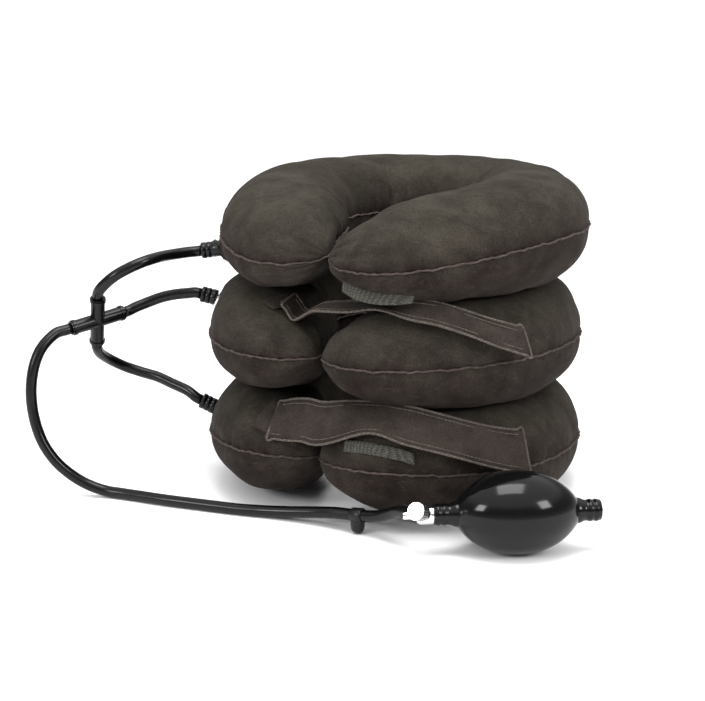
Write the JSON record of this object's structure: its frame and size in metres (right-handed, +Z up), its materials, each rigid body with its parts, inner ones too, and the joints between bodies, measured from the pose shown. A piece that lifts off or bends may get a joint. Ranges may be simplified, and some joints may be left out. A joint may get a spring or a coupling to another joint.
{
  "type": "cervical traction device",
  "caption": "Inflatable neck traction collar of stacked velour air chambers with front straps, hoses, a four-way fitting and a hand bulb with a release valve.",
  "frame": {"origin": "centre of the neck opening, on the plane that the collar rests on", "axes": "+Z up through the neck opening, -Y towards the front gap and straps, +X towards the bulb"},
  "size_m": [0.3694, 0.2888, 0.2124],
  "materials": {
    "velour": "brushed velour",
    "welt": "puckered stitched seam",
    "strap_velour": "brushed velour band",
    "hook_tape": "hook tape",
    "loop_tape": "loop tape",
    "bladder_rubber": "matt",
    "chrome": "polished",
    "brass": "turned",
    "steel_screen": "satin",
    "bulb_rubber": "glossy",
    "black_plastic": "glossy",
    "hose_rubber": "semi-gloss"
  },
  "bodies": {
    "base": {"bottom_cover_lower": "velour", "bottom_seam": "welt", "bottom_bladder": "bladder_rubber", "main_hose": "hose_rubber", "hose_clip": "black_plastic", "bulb_lower_wall": "bulb_rubber", "valve_body": "chrome", "inlet_valve_body": "chrome", "inlet_screen": "steel_screen"},
    "lower_link": {"bottom_cover_upper": "velour", "middle_cover_lower": "velour", "middle_seam": "welt", "middle_bladder": "bladder_rubber", "lower_join_patch": "bladder_rubber", "lower_strap_tab": "strap_velour", "lower_patch": "loop_tape"},
    "upper_link": {"middle_cover_upper": "velour", "top_cover_lower": "velour", "top_seam": "welt", "top_bladder": "bladder_rubber", "upper_join_patch": "bladder_rubber", "upper_strap_tab": "strap_velour", "upper_patch": "loop_tape"},
    "top_panel": {"top_cover_upper": "velour"},
    "lower_strap_flap": {"lower_strap": "strap_velour", "lower_strap_tape": "hook_tape"},
    "upper_strap_flap": {"upper_strap": "strap_velour", "upper_strap_tape": "hook_tape"},
    "cross_fitting": {"hose_cross": "black_plastic", "top_hose": "hose_rubber", "middle_hose": "hose_rubber", "bottom_hose": "hose_rubber"},
    "bottom_port_fitting": {"bottom_port": "black_plastic", "bottom_sleeve": "hose_rubber"},
    "middle_port_fitting": {"middle_port": "black_plastic", "middle_sleeve": "hose_rubber"},
    "top_port_fitting": {"top_port": "black_plastic", "top_sleeve": "hose_rubber"},
    "bulb_top": {"bulb_upper_wall": "bulb_rubber"},
    "needle": {"valve_needle": "brass", "needle_seal": "hose_rubber"},
    "knob": {"thumbscrew": "chrome"},
    "outlet_check": {"outlet_ball": "chrome"},
    "inlet_check": {"inlet_ball": "chrome"}
  },
  "joints": [
    {"name": "bottom_chamber", "type": "slide", "parent": "base", "child": "lower_link", "axis": [0, 0, 1], "range_m": [-0.026, 0], "stiffness_N_per_m": 3000, "springref_m": 0.004, "deforming": ["bottom_cover_lower", "bottom_cover_upper", "bottom_seam", "bottom_bladder", "lower_strap_tab", "lower_patch", "lower_strap", "lower_strap_tape", "lower_join_patch"]},
    {"name": "middle_chamber", "type": "slide", "parent": "lower_link", "child": "upper_link", "axis": [0, 0, 1], "range_m": [-0.026, 0], "stiffness_N_per_m": 3000, "springref_m": 0.004, "deforming": ["middle_cover_lower", "middle_cover_upper", "middle_seam", "middle_bladder", "upper_strap_tab", "upper_strap", "upper_strap_tape", "upper_join_patch"]},
    {"name": "top_chamber", "type": "slide", "parent": "upper_link", "child": "top_panel", "axis": [0, 0, 1], "range_m": [-0.026, 0], "stiffness_N_per_m": 3000, "springref_m": 0.004, "deforming": ["top_cover_lower", "top_cover_upper", "top_seam", "top_bladder", "upper_patch"]},
    {"name": "cross_drop", "type": "slide", "parent": "base", "child": "cross_fitting", "axis": [0, 0, 1], "range_m": [-0.042, 0], "deforming": ["main_hose", "top_hose", "middle_hose", "bottom_hose"]},
    {"name": "bottom_port_shift", "type": "slide", "parent": "cross_fitting", "child": "bottom_port_fitting", "axis": [0, 0, 1], "range_m": [0, 0.025]},
    {"name": "middle_port_shift", "type": "slide", "parent": "cross_fitting", "child": "middle_port_fitting", "axis": [0, 0, 1], "range_m": [-0.005, 0]},
    {"name": "top_port_shift", "type": "slide", "parent": "cross_fitting", "child": "top_port_fitting", "axis": [0, 0, 1], "range_m": [-0.019, 0]},
    {"name": "lower_strap_peel", "type": "hinge", "parent": "lower_link", "child": "lower_strap_flap", "pos_m": [-0.0218, -0.1237, 0.0607], "axis": [0, 0, -1], "range_deg": [0, 100]},
    {"name": "upper_strap_peel", "type": "hinge", "parent": "upper_link", "child": "upper_strap_flap", "pos_m": [-0.0218, -0.1237, 0.1317], "axis": [0, 0, -1], "range_deg": [0, 100]},
    {"name": "bulb_squeeze", "type": "slide", "parent": "base", "child": "bulb_top", "axis": [0, 0, -1], "range_m": [0, 0.012], "stiffness_N_per_m": 800, "deforming": ["bulb_upper_wall", "bulb_lower_wall"]},
    {"name": "needle_travel", "type": "slide", "parent": "base", "child": "needle", "axis": [0, -0.9135, 0.4067], "range_m": [0, 0.001]},
    {"name": "thumbscrew_turn", "type": "hinge", "parent": "needle", "child": "knob", "pos_m": [0.08606, -0.13064, 0.025], "axis": [0, -0.9135, 0.4067], "range_deg": [0, 450]},
    {"name": "outlet_ball_lift", "type": "slide", "parent": "base", "child": "outlet_check", "axis": [-0.829, -0.5592, 0], "range_m": [0, 0.0012]},
    {"name": "inlet_ball_lift", "type": "slide", "parent": "base", "child": "inlet_check", "axis": [-0.829, -0.5592, 0], "range_m": [0, 0.0012]}
  ],
  "couplings": [
    {"joint": "middle_chamber", "follows": "bottom_chamber", "ratio": 1},
    {"joint": "top_chamber", "follows": "bottom_chamber", "ratio": 1},
    {"joint": "cross_drop", "follows": "bottom_chamber", "ratio": 1.577},
    {"joint": "bottom_port_shift", "follows": "bottom_chamber", "ratio": -0.934},
    {"joint": "middle_port_shift", "follows": "bottom_chamber", "ratio": 0.158},
    {"joint": "top_port_shift", "follows": "bottom_chamber", "ratio": 0.651},
    {"joint": "thumbscrew_turn", "follows": "needle_travel", "rad_per_m": 7854}
  ]
}
